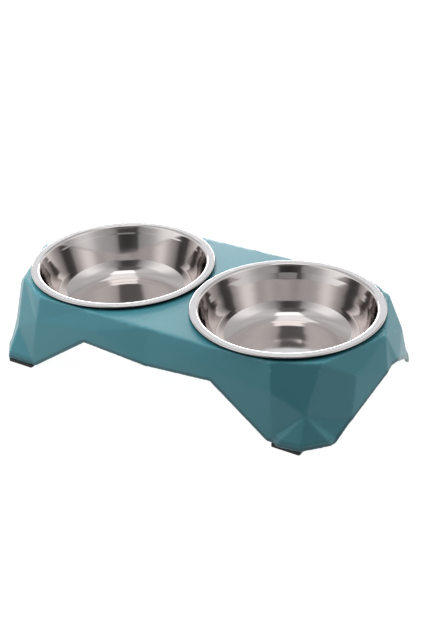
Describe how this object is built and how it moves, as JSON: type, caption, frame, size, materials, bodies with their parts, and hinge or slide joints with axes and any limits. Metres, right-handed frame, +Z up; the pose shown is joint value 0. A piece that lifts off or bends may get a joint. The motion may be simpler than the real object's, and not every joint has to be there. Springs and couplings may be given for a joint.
{
  "type": "double pet bowl",
  "caption": "Low faceted plastic feeding stand on rubber feet, with round steel bowls that hang by their rolled rims in holes in its deck and lift out.",
  "frame": {"origin": "on the floor, under the middle of the stand", "axes": "+X along the stand from the left bowl to the right bowl, +Y towards the back, +Z up"},
  "size_m": [0.3516, 0.1906, 0.0687],
  "materials": {
    "stand_plastic": "moulded teal plastic with a soft gloss",
    "bowl_steel": "polished pressed stainless steel",
    "foot_rubber": "matt black rubber"
  },
  "bodies": {
    "base": {"stand": "stand_plastic", "front_left_foot": "foot_rubber", "front_right_foot": "foot_rubber", "back_left_foot": "foot_rubber", "back_right_foot": "foot_rubber"},
    "left_bowl": {"left_bowl": "bowl_steel"},
    "right_bowl": {"right_bowl": "bowl_steel"}
  },
  "joints": [
    {"name": "left_bowl_lift", "type": "slide", "parent": "base", "child": "left_bowl", "axis": [0, 0, 1], "range_m": [0, 0.06]},
    {"name": "right_bowl_lift", "type": "slide", "parent": "base", "child": "right_bowl", "axis": [0, 0, 1], "range_m": [0, 0.06]}
  ]
}
